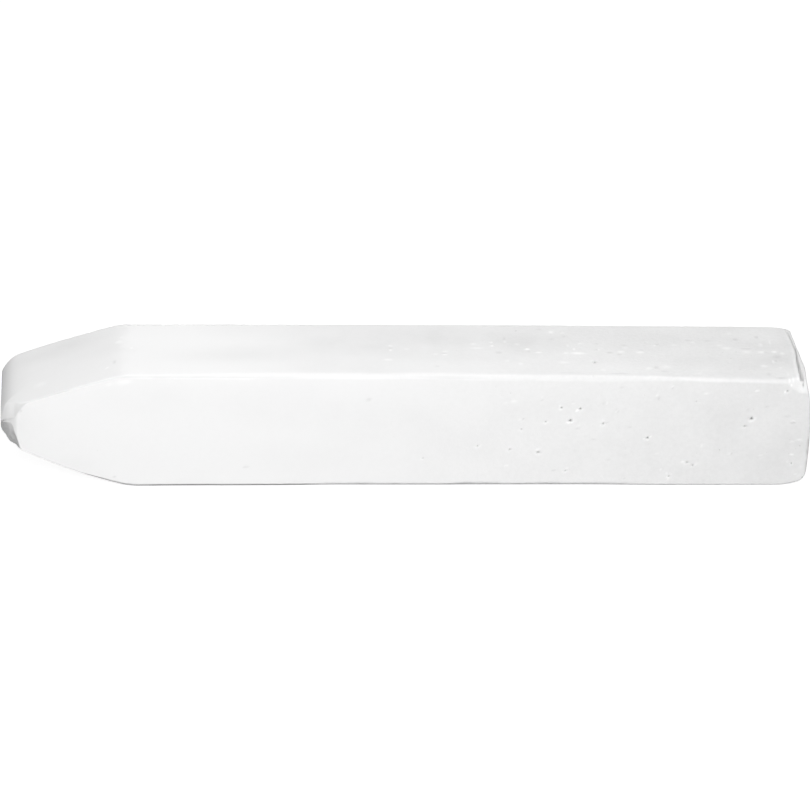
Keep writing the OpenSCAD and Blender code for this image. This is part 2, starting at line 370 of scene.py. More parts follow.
# unit normals of the skin: the cross product of its two grid directions
def skinNormals(p):
    along = np.gradient(p, axis=0)
    across = np.roll(p, -1, axis=1) - np.roll(p, 1, axis=1)
    n = np.cross(along, across)
    return n / np.maximum(np.linalg.norm(n, axis=-1, keepdims=True), 1e-9)


relief = {
    "waveHeight": 0.018, "waveLength": 8.0,        # slow waves on every face
    "topWaveHeight": 0.035, "topWaveLength": 2.2,  # shorter ones on the top, towards the butt
    "rippleHeight": (0.001, 0.005), "rippleLength": 0.9,   # at the nose and at the butt
    "roof": 0.07,                                  # how much higher the top is along its middle
    "edgeHeight": 0.025, "edgeLength": 2.0,        # unevenness of the long edges
    "brokenHeight": 0.07, "brokenLength": 0.5,     # roughness of the chip
    "buttHeight": 0.06, "buttLength": 3.0,         # unevenness of the butt's face
    "chipSwell": 0.07, "chipMiddle": (-39.2, -4.9, 4.9), "chipHalves": (1.0, 1.0, 0.9),
    "markHeight": 0.02,
    "inset": 0.012,                                # how far the skin stays inside the cast size
}

# the groove that the mould leaves beside the butt, from its front end to its rear end:
# a steep wall, a flat bottom and a slope up to the lip
groove = {
    "place": 38.68, "bow": 0.26, "lean": 1.6, "ends": (-5.45, 5.2), "depth": (0.50, 0.25),
    "bottom": (0.36, 0.08), "slope": (0.10, 0.04), "rim": (0.07, 0.02), "rimWidth": 0.18,
    # the last number is the strength of the painted highlight on the rim
    "wander": 0.03, "rimHighlight": 8.0,
}

# pinholes left by air bubbles: place along x, place across the face, radius, depth
frontPits = [
    (1.55, 3.1, 0.12, 0.13), (6.95, 4.45, 0.15, 0.20), (10.15, 4.05, 0.14, 0.21),
    (11.25, 6.3, 0.13, 0.15), (11.4, 7.45, 0.11, 0.10), (13.0, 3.75, 0.17, 0.21),
    (13.6, 7.1, 0.14, 0.18), (15.1, 8.65, 0.15, 0.27), (15.8, 1.7, 0.15, 0.17),
    (16.05, 7.2, 0.20, 0.42), (17.0, 8.55, 0.17, 0.33), (19.35, 6.9, 0.15, 0.26),
    (23.8, 5.3, 0.17, 0.27), (26.1, 1.05, 0.14, 0.16), (27.9, 2.6, 0.16, 0.19),
    (28.45, 2.25, 0.14, 0.23), (28.45, 9.35, 0.12, 0.13), (33.4, 6.6, 0.15, 0.21),
    (34.05, 7.4, 0.20, 0.42), (37.45, 10.45, 0.16, 0.22), (38.3, 2.45, 0.14, 0.18),
]
topPits = [(18.55, -2.4, 0.18, 0.40), (24.1, 1.9, 0.12, 0.10), (31.6, 2.3, 0.12, 0.10)]
rearPits = [
    (-17.2, 4.1, 0.13, 0.16), (-6.4, 8.3, 0.12, 0.14), (3.8, 3.2, 0.15, 0.22), (11.5, 6.9, 0.16, 0.28),
    (12.6, 7.6, 0.12, 0.16), (19.9, 4.8, 0.17, 0.32), (24.3, 9.2, 0.14, 0.20), (30.1, 2.9, 0.15, 0.24),
    (35.2, 6.1, 0.17, 0.30),
]

# plain flakes of loose powder (above 0) and small hollows (below 0) of the top, tinted paler and darker,
# partly as painted light and shade of their slopes; placed one by one: x, y, half length, half width,
# strength
topMarks = [
    (-39.3, -5.2, 0.9, 0.7, 0.5), (-36.1, -2.9, 0.9, 0.8, 0.3), (-29.6, -3.4, 0.2, 0.25, 1.0),
    (-28.8, -2.5, 0.15, 0.6, -1.0), (-28.4, 1.8, 0.5, 0.5, 0.6), (-28.0, 2.8, 0.15, 0.3, 1.2),
    (-27.2, 0.3, 0.12, 0.35, 1.2), (-1.9, -2.3, 0.7, 0.35, 0.6), (-1.5, 0.8, 0.3, 0.3, 0.8),
    (-1.5, 0.3, 0.25, 0.3, -0.6), (-1.5, -0.2, 0.2, 0.35, 1.2), (0.1, 0.1, 0.4, 0.4, 0.4),
    (2.9, -1.0, 0.4, 0.3, 0.5), (2.9, -3.7, 0.4, 0.3, -0.5), (3.8, -1.1, 0.35, 0.2, 1.2),
    (3.8, -0.8, 0.4, 0.15, -0.8), (3.9, -0.4, 0.4, 0.3, 0.6),
    (6.8, 1.3, 0.4, 0.4, 0.6), (7.1, 0.4, 0.9, 0.3, 0.5), (8.6, 1.7, 0.2, 0.25, 1.5),
    (8.6, 0.9, 0.2, 0.25, 1.4), (9.2, -0.6, 0.5, 0.4, -0.7), (9.9, -2.4, 0.2, 0.4, 0.6),
    (10.0, 2.6, 0.2, 0.5, -0.6), (10.0, 1.9, 0.2, 0.4, 0.7), (11.2, 1.3, 0.4, 0.4, 0.7),
    (11.2, -3.0, 0.3, 0.4, 0.5), (12.1, 0.2, 0.35, 0.25, 2.0), (12.2, -0.3, 0.2, 0.3, -0.6),
    (13.2, -0.5, 0.5, 0.25, 1.1), (13.6, 4.8, 0.4, 0.3, -0.5), (14.7, 2.6, 0.3, 0.4, -0.5),
    (14.8, 4.2, 0.4, 0.4, 1.0), (15.5, -2.6, 0.8, 0.4, 0.5), (15.9, 4.0, 0.25, 0.35, 0.6),
    (15.9, -0.6, 0.35, 0.35, 0.7), (15.9, -5.1, 1.8, 0.15, -0.8), (16.0, 3.2, 0.3, 0.5, -0.5),
    (16.2, 1.1, 0.2, 0.4, 0.6), (16.8, 0.3, 0.2, 0.4, 1.0), (17.1, -0.6, 1.1, 0.4, 1.0),
    (17.5, 1.6, 0.35, 0.3, 0.6), (18.6, -2.4, 0.22, 0.4, -2.4), (19.0, 0.2, 0.2, 0.25, -0.8),
    (19.2, 0.2, 0.2, 0.25, 0.7), (19.1, 1.6, 0.4, 0.3, -0.5), (19.3, -4.2, 0.35, 0.4, 0.5),
    (20.3, -0.4, 0.5, 0.35, -0.9), (20.8, -5.0, 1.5, 0.15, -0.8), (21.2, -0.8, 0.3, 0.3, -0.9),
    (21.4, -0.2, 0.5, 0.4, 0.8), (21.9, 1.3, 0.4, 0.25, -0.6), (21.9, 0.7, 0.4, 0.3, 0.6),
    (23.3, -0.3, 0.6, 0.4, 0.8), (23.5, 0.2, 0.3, 0.2, -0.6), (23.8, -3.8, 0.4, 0.5, 0.6),
    (24.6, -3.5, 0.3, 0.45, -0.9), (24.9, 1.2, 0.2, 0.3, 0.8), (25.2, 1.5, 0.2, 0.25, -1.0),
    (25.3, -4.4, 0.5, 0.3, -0.6), (25.6, -3.4, 0.7, 0.6, 0.5), (26.6, -5.0, 0.5, 0.2, 0.5),
    (26.9, 1.4, 0.4, 0.3, 0.5), (28.4, 2.5, 0.5, 0.3, -0.6), (28.7, -4.7, 0.5, 0.3, 0.4),
    (28.8, 2.0, 0.3, 0.3, 0.6), (30.4, 2.4, 0.6, 0.25, -0.6), (31.4, 1.4, 0.4, 0.3, 0.5),
    (32.1, 0.8, 0.7, 0.4, 0.7), (32.7, 4.2, 0.4, 0.5, 0.4), (33.2, 2.8, 0.4, 0.4, -0.9),
    (34.0, 0.0, 0.6, 0.5, 0.5), (34.1, 0.7, 0.9, 0.2, -0.9), (35.4, 3.4, 0.3, 0.5, -0.9),
    (35.4, -3.0, 0.5, 0.4, 0.8), (35.5, 0.0, 0.6, 0.4, 0.8), (35.6, 1.6, 0.25, 0.7, 0.7),
    (35.7, -4.7, 0.3, 0.5, -0.6), (35.9, 0.0, 0.25, 0.35, -0.8), (36.5, -2.0, 0.2, 0.5, 1.5),
    (36.7, -1.9, 0.2, 0.4, -1.2), (36.6, 2.3, 0.2, 0.9, 0.6), (36.8, 0.1, 0.4, 0.4, 1.1),
    (36.8, -5.4, 0.8, 0.15, -1.0), (36.9, -1.0, 0.6, 0.6, -0.6), (37.0, -3.3, 0.3, 0.3, 0.5),
    (37.6, -0.2, 0.4, 0.4, 0.7), (37.6, -4.6, 0.2, 0.7, 0.4), (38.0, -5.5, 0.16, 0.5, 0.6),
    (39.0, -5.7, 0.15, 0.15, -3.0),
]

# the same on the front face: x, z, half length, half height, strength
frontMarks = [
    (-38.0, 8.4, 0.2, 0.2, -0.7), (-29.4, 11.3, 0.6, 0.25, 0.25), (-28.9, 1.1, 0.25, 0.15, -0.9),
    (-28.2, 11.5, 0.9, 0.5, 0.25), (-27.6, 11.6, 0.6, 0.35, 0.25), (-15.9, 2.2, 0.4, 0.2, -0.6),
    (-3.9, 9.6, 0.4, 0.2, -0.7), (7.1, 4.5, 0.2, 0.15, 0.9), (9.6, 9.2, 0.4, 0.15, 0.6),
    (9.9, 2.3, 0.25, 0.15, 0.6), (10.4, 9.4, 0.5, 0.25, 0.5), (11.1, 7.4, 0.15, 0.15, 0.6),
    (11.3, 6.0, 0.15, 0.15, 0.6), (12.9, 4.0, 0.35, 0.12, 0.9), (13.1, 3.7, 0.35, 0.12, -1.0),
    (13.2, 9.8, 0.15, 0.12, 0.8), (13.2, 9.5, 0.2, 0.12, -0.6), (13.4, 3.4, 0.12, 0.15, -0.6),
    (13.8, 7.1, 0.12, 0.12, 0.5), (14.6, 1.8, 0.35, 0.12, -0.9), (15.0, 8.8, 0.12, 0.15, 0.8),
    (15.9, 1.9, 0.2, 0.15, 0.8), (15.9, 7.1, 0.25, 0.12, 0.8), (16.0, 7.6, 0.3, 0.12, -0.4),
    (16.3, 9.4, 0.15, 0.15, -0.9), (16.3, 9.1, 0.15, 0.15, 1.1), (16.6, 3.9, 0.4, 0.15, -0.4),
    (16.7, 8.4, 0.2, 0.25, 1.2), (16.7, 7.0, 0.25, 0.12, -0.9), (16.8, 6.4, 0.3, 0.12, -0.5),
    (16.9, 6.8, 0.2, 0.12, 0.7), (17.6, 5.6, 0.3, 0.12, -0.5), (18.4, 5.2, 0.4, 0.12, -0.5),
    (19.3, 9.2, 0.2, 0.15, -0.8), (19.3, 7.2, 0.3, 0.12, 1.0), (19.6, 9.2, 0.15, 0.15, 0.9),
    (19.7, 7.0, 0.2, 0.12, -0.6), (20.0, 2.9, 0.4, 0.12, -0.4), (20.5, 8.5, 0.12, 0.15, -0.8),
    (20.6, 8.3, 0.12, 0.15, 0.8), (20.8, 8.2, 0.12, 0.2, -0.8), (21.0, 10.9, 0.3, 0.12, -0.4),
    (21.6, 4.2, 0.15, 0.15, -0.5), (21.6, 3.9, 0.15, 0.15, 0.5), (21.7, 0.9, 0.2, 0.12, -0.8),
    (21.7, 3.5, 0.25, 0.12, -0.5), (22.0, 6.5, 0.3, 0.15, -0.5), (23.2, 10.1, 0.4, 0.12, 0.6),
    (23.5, 5.3, 0.15, 0.12, 0.8), (24.0, 5.4, 0.15, 0.12, 1.5), (24.5, 10.1, 0.2, 0.15, 1.0),
    (24.7, 9.7, 0.2, 0.3, -0.7), (24.8, 3.6, 0.2, 0.15, 0.4), (25.3, 1.8, 0.15, 0.15, 0.7),
    (25.9, 1.4, 0.12, 0.12, 0.5), (26.0, 11.0, 0.2, 0.15, 0.6), (26.0, 10.8, 0.15, 0.12, -0.7),
    (26.1, 0.8, 0.15, 0.12, 0.6), (26.3, 1.3, 0.2, 0.15, 0.7), (26.3, 4.5, 0.12, 0.3, 0.4),
    (26.5, 4.5, 0.12, 0.3, -0.4), (27.5, 2.7, 0.2, 0.2, 1.0), (28.7, 2.4, 0.15, 0.15, 1.2),
    (28.8, 9.2, 0.15, 0.15, 0.4), (29.2, 4.5, 0.1, 0.4, 0.8), (29.4, 10.2, 0.35, 0.15, 0.6),
    (32.0, 3.6, 0.15, 0.2, 0.9), (32.2, 3.6, 0.15, 0.2, -0.8), (33.6, 8.4, 0.12, 0.2, -0.5),
    (33.6, 6.6, 0.1, 0.15, -0.5), (34.4, 10.5, 0.3, 0.12, 1.2), (34.6, 10.3, 0.15, 0.12, -0.7),
    (34.4, 7.5, 0.12, 0.25, 0.4), (35.2, 3.4, 0.3, 0.1, 0.5), (35.2, 3.0, 0.3, 0.1, 0.5),
    (35.5, 8.8, 0.3, 0.12, -0.5), (37.2, 10.4, 0.15, 0.25, 1.1), (37.6, 11.5, 0.13, 0.24, 1.5),
    (37.8, 11.1, 0.13, 0.16, 1.2), (37.6, 7.7, 0.5, 0.2, -0.4), (37.9, 2.7, 0.2, 0.15, 0.7),
    (38.2, 4.9, 0.4, 0.15, 0.8), (38.2, 7.2, 0.4, 0.15, 0.7), (38.2, 7.0, 0.45, 0.15, -1.0),
    (38.3, 3.5, 0.35, 0.12, 1.1), (38.8, 1.3, 0.25, 0.15, 0.5), (38.9, 5.1, 0.6, 0.15, 0.9),
    (38.9, 10.7, 0.8, 0.6, 0.35), (39.1, 1.1, 0.35, 0.3, 0.3), (39.3, 2.1, 0.25, 0.4, 0.3),
    (39.5, 0.9, 0.18, 0.14, -1.9), (39.6, 10.8, 0.1, 0.35, -2.5),
]

# marks in random places with random sizes, for the face that isn't described one by one
rearMarks = {
    "count": 70, "x": (-26.0, 38.5), "z": (0.8, 11.2), "length": (0.15, 0.5),
    "width": (0.12, 0.22), "strength": (-0.8, 0.9),
}

# broad grey patches, partly painted shade such as the top's darker rear half, and paler places below 0,
# partly painted light: x, y, half length, half width, strength
topGreyShade = [
    (-34.0, 4.0, 8.0, 3.0, 0.40), (-20.0, 4.5, 7.0, 2.5, 0.63), (-18.0, -1.0, 9.0, 3.0, 0.50),
    (-30.0, 1.0, 8.0, 2.5, 0.15), (-5.0, 0.8, 9.0, 3.5, 0.22), (3.0, 3.0, 9.0, 3.0, 0.29),
    (5.0, -4.5, 10.0, 3.0, -0.27), (13.0, 1.5, 6.0, 3.0, 0.38), (21.0, -4.5, 9.0, 3.0, -0.25),
    (21.0, 1.2, 4.0, 2.0, 0.12), (28.5, -1.9, 4.0, 2.5, 0.38), (35.0, -2.0, 5.0, 2.5, 0.45),
    (35.0, 1.3, 3.0, 1.6, 0.20), (35.0, 4.2, 4.0, 2.5, -0.25),
]

# the same on the front face: x, z, half length, half height, strength
frontGreyShade = [
    (-38.0, 7.2, 3.5, 3.5, 0.15), (-32.5, 2.6, 2.5, 1.3, 0.12), (-26.0, 9.5, 8.0, 3.0, 0.10),
    (-13.0, 9.3, 10.0, 4.0, 0.17), (-11.0, 3.0, 8.0, 3.0, 0.10), (-5.0, 7.2, 6.0, 3.5, 0.13),
    (1.0, 7.5, 5.0, 3.0, 0.10), (5.5, 5.0, 5.0, 3.0, 0.08), (6.0, 2.0, 4.0, 3.0, -0.09),
    (14.0, 8.0, 8.0, 3.5, 0.12), (21.0, 3.0, 8.0, 3.5, 0.08), (30.5, 8.3, 4.0, 3.5, 0.11),
    (34.0, 10.0, 5.0, 2.5, -0.06), (35.0, 6.0, 5.0, 4.0, -0.15), (37.5, 5.0, 2.5, 4.0, 0.08),
]


# smooth noise from -1 to 1: random values at whole coordinates, blended with 3u² - 2u³
def latticeNoise(p, seed):
    table = np.random.default_rng(seed).uniform(-1.0, 1.0, (32, 32, 32))
    cell = np.floor(p).astype(int)
    u = p - cell
    u = u * u * (3.0 - 2.0 * u)
    total = 0.0
    for i in (0, 1):
        for j in (0, 1):
            for k in (0, 1):
                share = (
                    (u[..., 0] if i else 1.0 - u[..., 0])
                    * (u[..., 1] if j else 1.0 - u[..., 1])
                    * (u[..., 2] if k else 1.0 - u[..., 2])
                )
                total = total + share * table[
                    (cell[..., 0] + i) % 32, (cell[..., 1] + j) % 32, (cell[..., 2] + k) % 32
                ]
    return total


# sum of noise layers, each half as long and half as high as the one before
def layeredNoise(p, length, seed, layers=3):
    total = 0.0
    for layer in range(layers):
        total = total + latticeNoise(p / length * 2.0 ** layer + 7.3 * layer, seed + layer) / 2.0 ** layer
    return total


# draws the grid in towards a pit, d becoming d (1 - pull (1 - (d/reach)²)²),
# so that enough points lie inside it
def drawIn(p, n, centre, facing, reach, pull):
    away = p - centre
    away = away - facing * (away @ facing)[..., None]
    near = np.minimum(np.linalg.norm(p - centre, axis=-1) / reach, 1.0)
    share = (1.0 - near ** 2) ** 2 * (n @ facing > 0.9)
    return p - away * (pull * share)[..., None]


# bowl (1 - d²)² high at its centre and 0 from its rim on, d being the distance in half sizes
def bowl(p, centre, halves):
    d = np.linalg.norm((p - centre) / halves, axis=-1)
    return (1.0 - np.minimum(d, 1.0) ** 2) ** 2


# cup 1 - d², steep at its rim, d being the distance in radii
def cup(p, centre, radius):
    d = np.linalg.norm(p - centre, axis=-1) / radius
    return np.clip(1.0 - d ** 2, 0.0, 1.0)


# a point of the top face at x, y
def onTop(x, y, s):
    t = np.array(x + s["length"] / 2.0)
    tilt = (s["frontFall"] - s["rearFall"]) * fallShare(t, s)
    return np.array([x, y, float(topLine(t, s) + tilt * y / s["depth"])])


# a point of the front face (side -1) or of the rear face (side 1) at x, z
def onSide(x, z, side, s):
    return np.array([x, side * s["depth"] / 2.0, z])


# how strongly a point belongs to each part of the surface: smooth steps between the two
# places or slopes given, times the part's share
def partMasks(p, n, s, m):
    rings, count = p.shape[:2]
    x, y, z = p[..., 0], p[..., 1], p[..., 2]
    t = x + s["length"] / 2.0
    masks = {}
    masks["front"] = smoothStep(-n[..., 1], 0.90, 0.99)
    behindNose = smoothStep(t, s["topTaper"] - 0.2, s["topTaper"] + 0.3)
    masks["top"] = smoothStep(n[..., 2], 0.90, 0.99) * behindNose
    # painted shade on the long edges, which face half upward or downward and half to a side: it damps
    # their highlight, greyest at the nose, half as grey along the middle and hardly grey towards the butt
    edgeShade = smoothStep(np.abs(n[..., 1] * n[..., 2]), 0.06, 0.38) * smoothStep(np.abs(n[..., 1]), 0.25, 0.65)
    masks["edge"] = edgeShade * (
        1.0 - 0.5 * stretch(x, -14.0, -9.0, -2.0, 4.0)
        - 0.5 * smoothStep(x, 2.0, 10.0) - 0.4 * smoothStep(x, 20.0, 28.0)
    )
    # the chip, rough and in painted shade, which fades out where it meets the worn corner
    lower = np.zeros((rings, count))
    lower[:, : m["chipSteps"] + 1] = 1.0
    masks["chip"] = lower * smoothStep(t, s["chipReach"] + 0.05, s["chipReach"] - 0.35)
    masks["chip"] = masks["chip"] * (1.0 - 0.75 * smoothStep(t + z, 6.4, 7.7))
    # painted shade along the near-lower edge, where it meets the floor: from behind the nose on, strongest
    # before the middle, faint along it and in patches only towards the butt
    patches = latticeNoise(p * np.array([0.9, 0.0, 0.0]), 91)
    along = smoothStep(t, 5.2, 7.4) * (0.65 + 0.35 * smoothStep(t, 9.0, 17.0))
    along = along * (1.0 - smoothStep(x, 15.0, 23.0) * (0.97 - 0.3 * smoothStep(patches, 0.2, 0.7)))
    along = along * (
        0.85 + 0.6 * stretch(x, -26.0, -22.0, -13.0, -9.0)
        - 0.8 * stretch(x, -13.0, -8.0, 22.0, 27.0) + 0.3 * patches
    )
    masks["foot"] = lower * smoothStep(-n[..., 2], 0.05, 0.45) * along
    # spotty painted shade down the lower half of the butt's front edge
    spots = 0.35 + 0.25 * latticeNoise(p * np.array([0.0, 0.0, 1.6]), 93)
    strip = smoothStep(t, s["length"] - 0.42, s["length"] - 0.12) * smoothStep(y, -5.0, -5.6)
    masks["foot"] = np.maximum(masks["foot"], strip * smoothStep(z, 6.8, 4.6) * spots)
    masks["butt"] = np.zeros((rings, count))
    masks["butt"][-m["endRings"] - 1:] = 1.0
    # painted shade on the tip, which turns away from the lamps, but not on its worn front corner
    pale = smoothStep(-y - 4.6 + t, -0.25, 0.25)
    grey = np.minimum(smoothStep(t, 1.7, 0.0) + 0.35 * fade(t, 3.2), 1.15)
    masks["tip"] = grey * (1.0 - 0.95 * pale)
    # the top is painted paler from a ragged line on, partly as rubbed chalk and partly as painted light,
    # most along its rear half, which the lamps leave darker
    ragged = x + 0.7 * layeredNoise(p, 2.4, 83, 3)
    masks["rubbedAndLit"] = masks["top"] * smoothStep(ragged, -28.7, -26.9) * smoothStep(x, -8.0, -22.0)
    masks["rubbedAndLit"] = masks["rubbedAndLit"] * (0.5 + 0.5 * smoothStep(y, -3.0, 3.0))
    # the stick greys towards its butt, and the top from its middle on, partly as painted shade of the light
    # falling off along the bar and over the top
    masks["greyAndShade"] = (
        0.12 * smoothStep(x, -12.0, 10.0) + 0.26 * smoothStep(x, 18.0, 36.0)
        + masks["top"] * (0.20 * smoothStep(x, -18.0, -6.0) - 0.06 * smoothStep(x, 20.0, 34.0))
    )
    return masks


# height of the relief along the normal: noise layers, the roof of the top (a hyperbola that is
# highest at y = 0.4), the edges' unevenness, the rough and swollen chip and the uneven butt,
# each weighted by its part's mask
def reliefHeight(p, n, masks, s, r):
    x, y, z = p[..., 0], p[..., 1], p[..., 2]
    top = masks["top"]
    long = np.array([0.6, 1.0, 1.0])
    h = r["waveHeight"] * layeredNoise(p * long, r["waveLength"], 11, 2)
    first, last = r["rippleHeight"]
    ripple = first + (last - first) * smoothStep(x, -8.0, 30.0)
    h = h + ripple * layeredNoise(p * long, r["rippleLength"], 37, 2)
    h = h + r["topWaveHeight"] * top * smoothStep(x, -5.0, 32.0) * layeredNoise(
        p * np.array([0.45, 1.0, 0.1]), r["topWaveLength"], 24, 2)
    roof = np.sqrt(1.2 ** 2 + (s["depth"] / 2.0) ** 2) - np.sqrt(1.2 ** 2 + (y - 0.4) ** 2)
    h = h + r["roof"] * top * smoothStep(x, -22.0, 0.0) * roof / (s["depth"] / 2.0)
    h = h - r["edgeHeight"] * masks["edge"] * layeredNoise(p, r["edgeLength"], 51, 3)
    h = h + r["brokenHeight"] * masks["chip"] * layeredNoise(p, r["brokenLength"], 63, 3)
    h = h + r["buttHeight"] * masks["butt"] * layeredNoise(p, r["buttLength"], 67, 2)
    swelling = bowl(p, np.array(r["chipMiddle"]), np.array(r["chipHalves"]))
    return h + r["chipSwell"] * masks["chip"] * swelling


# height of the groove and how far a point lies on its bottom, which takes painted shade: -depth from
# the wall on, rising straight to 0 at the lip, with a low rim before the wall; its ends fade out over a
# few tenths and the wall is a few hundredths thick
def grooveHeight(p, n, g):
    first, last = g["ends"]
    u = np.clip((p[..., 1] - first) / (last - first), 0.0, 1.0)
    narrow = 1.0 - (1.0 - u) ** 2
    depth, bottom, slope = [
        g[key][0] + (g[key][1] - g[key][0]) * narrow for key in ("depth", "bottom", "slope")
    ]
    d = p[..., 0] - g["place"] - g["bow"] * np.sin(np.pi * u ** g["lean"])
    d = d - g["wander"] * layeredNoise(p * np.array([0.0, 1.0, 0.0]), 1.6, 77, 3)
    share = smoothStep(p[..., 1], first - 0.12, first + 0.12) * smoothStep(p[..., 1], last + 0.5, last - 0.2)
    share = share * smoothStep(n[..., 2], 0.3, 0.6)
    wall = smoothStep(d, -0.02, 0.05)
    rise = np.clip(1.0 - (d - bottom) / slope, 0.0, 1.0)
    rim = (g["rim"][0] + (g["rim"][1] - g["rim"][0]) * u) * np.exp(-((d + 0.2) / g["rimWidth"]) ** 2)
    return share * (rim - depth * wall * rise), share * wall * smoothStep(d, bottom + 0.1, bottom - 0.02)


# rows of random numbers within the spans given
def scatter(v, seed):
    spans = [v[key] for key in ("x", "z", "length", "width", "strength")]
    given = np.random.default_rng(seed).uniform(0.0, 1.0, (v["count"], len(spans)))
    low, high = np.array(spans).T
    return (low + (high - low) * given).tolist()


# pinholes: a cup 0.8 of the depth deep within 0.7 of the radius, with painted shade where it is
# deep, and a low collar between 1.1 and 2.1 radii with a painted highlight
def sinkPits(p, h, masks, pits):
    for centre, facing, radius, depth in pits:
        hollow = cup(p, centre, 0.7 * radius)
        collar = bowl(p, centre, 2.1 * radius) - bowl(p, centre, 1.1 * radius)
        h = h + 0.12 * depth * collar - 0.8 * depth * hollow
        deep = min(1.0, depth / 0.3)
        masks["pit"] = np.maximum(masks["pit"], deep * hollow)
        masks["fleckLightShade"] = masks["fleckLightShade"] + deep * collar
    return h


# flakes and hollows: bowls that also tint their place, paler above 0 and darker below, partly as painted
# light and shade, those of the front and rear 1.3 times as strong, because light falls on them at a slant
def layMarks(p, h, masks, s, height):
    marks = [(onTop(x, y, s), (length, width, 2.0), strength) for x, y, length, width, strength in topMarks]
    for table, side in ((frontMarks, -1.0), (scatter(rearMarks, 5), 1.0)):
        marks += [(onSide(x, z, side, s), (length, 1.0, width), 1.3 * strength)
                  for x, z, length, width, strength in table]
    for centre, halves, strength in marks:
        shape = strength * bowl(p, centre, np.array(halves))
        h = h + height * shape
        masks["fleckLightShade"] = masks["fleckLightShade"] + shape
    return h


# wide bowls that grey the top and the front face, and pale them below 0, partly as painted shade and painted
# light
def layGreyShade(p, n, masks, s):
    level = smoothStep(n[..., 2], 0.85, 0.95)
    for x, y, length, width, strength in topGreyShade:
        soft = bowl(p, onTop(x, y, s), np.array([length, width, 4.0]))
        masks["greyAndShade"] = masks["greyAndShade"] + strength * level * soft
    for x, z, length, width, strength in frontGreyShade:
        soft = bowl(p, onSide(x, z, -1.0, s), np.array([length, 4.0, width]))
        masks["greyAndShade"] = masks["greyAndShade"] + strength * masks["front"] * soft


def buildStick(s, m, r, g):
    p = skin(s, m)
    n = skinNormals(p)
    forward, upward = np.array([0.0, -1.0, 0.0]), np.array([0.0, 0.0, 1.0])
    pits = [(onSide(x, z, -1.0, s), forward, radius, depth) for x, z, radius, depth in frontPits]
    pits += [(onTop(x, y, s), upward, radius, depth) for x, y, radius, depth in topPits]
    pits += [(onSide(x, z, 1.0, s), -forward, radius, depth) for x, z, radius, depth in rearPits]
    for centre, facing, radius, depth in pits:
        p = drawIn(p, n, centre, facing, m["pitReach"], m["pitPull"])
    masks = partMasks(p, n, s, m)
    h = reliefHeight(p, n, masks, s, r)
    masks["pit"] = np.zeros(h.shape)
    masks["fleckLightShade"] = np.zeros(h.shape)
    h = sinkPits(p, h, masks, pits)
    h = layMarks(p, h, masks, s, r["markHeight"])
    layGreyShade(p, n, masks, s)
    sunk, masks["groove"] = grooveHeight(p, n, g)
    # painted highlight on the groove's low rim
    masks["fleckLightShade"] = masks["fleckLightShade"] + g["rimHighlight"] * np.maximum(sunk, 0.0)
    p = p + n * (h + sunk - r["inset"])[..., None]
    low, high = np.array(cadBox[0]) / mm, np.array(cadBox[1]) / mm
    return np.clip(p, low, high), masks


# makes the mesh: a quad between each four grid points, and a fan at the tip and the butt
def makeMesh(name, p, masks):
    rings, count = p.shape[:2]
    verts = np.concatenate([p.reshape(-1, 3), p[0].mean(axis=0)[None], p[-1].mean(axis=0)[None]]) * mm
    i = np.arange(rings - 1)[:, None] * count
    j = np.arange(count)[None, :]
    k = (j + 1) % count
    quads = np.stack([i + j, i + count + j, i + count + k, i + k], axis=-1).reshape(-1, 4)
    j, k, last = j[0], k[0], (rings - 1) * count
    tipFan = np.stack([np.full(count, rings * count), j, k], axis=-1)
    buttFan = np.stack([np.full(count, rings * count + 1), last + k, last + j], axis=-1)
    data = bpy.data.meshes.new(name)
    data.from_pydata(verts.tolist(), [], quads.tolist() + tipFan.tolist() + buttFan.tolist())
    data.polygons.foreach_set("use_smooth", np.ones(len(data.polygons), dtype=bool))
    for key, mask in masks.items():
        attribute = data.attributes.new(key, "FLOAT", "POINT")
        values = np.concatenate([mask.ravel(), [mask[0].mean(), mask[-1].mean()]])
        attribute.data.foreach_set("value", values.astype(np.float32))
    data.update()
    obj = bpy.data.objects.new(name, data)
    bpy.context.scene.collection.objects.link(obj)
    return obj


skinPoints, skinMasks = buildStick(stick, mesh, relief, groove)
chalk = makeMesh("chalkStick", skinPoints, skinMasks)
print("stick built:", len(chalk.data.polygons), "faces")


finish = {
    "colour": (0.878, 0.878, 0.878), "greyShadeColour": (0.74, 0.74, 0.74),
    "rubbedLitColour": (0.925, 0.925, 0.925), "edgeShadeColour": (0.77, 0.77, 0.77),
    "brokenShadeColour": (0.58, 0.58, 0.58), "footShadeColour": (0.40, 0.40, 0.40),
    "holeShadeColour": (0.42, 0.42, 0.42), "fleckShade": 0.15,
    "mottleScale": 190.0, "grainScale": 2600.0, "fineScale": 8200.0,
    "pores": ((620.0, 0.07, 0.25), (1426.0, 0.10, 0.22)),       # scale, size, share of the cells
    "finePoreShare": 0.5, "poreDepth": 2.0, "poreShade": 0.4, "grooveShade": 0.27,
    "buttTint": 0.25, "tipShade": 0.4, "grainHeight": 0.00003,
    "smoothTo": -0.012, "coarseFrom": 0.03, "noseGrain": 0.2,   # metres along x
}


# a node group with named inputs and outputs
def newGroup(name, inputs, outputs):
    group = bpy.data.node_groups.new(name, "ShaderNodeTree")
    for label, kind, value in inputs:
        socket = group.interface.new_socket(name=label, in_out="INPUT", socket_type=kind)
        if value is not None:
            socket.default_value = value
    for label, kind in outputs:
        group.interface.new_socket(name=label, in_out="OUTPUT", socket_type=kind)
    return group, group.nodes.new("NodeGroupInput"), group.nodes.new("NodeGroupOutput")


def addMath(tree, operation, a, b=None, clamp=False):
    node = tree.nodes.new("ShaderNodeMath")
    node.operation = operation
    node.use_clamp = clamp
    for socket, value in zip(node.inputs, (a, b)):
        if value is None:
            continue
        if isinstance(value, (int, float)):
            socket.default_value = value
        else:
            tree.links.new(value, socket)
    return node.outputs[0]


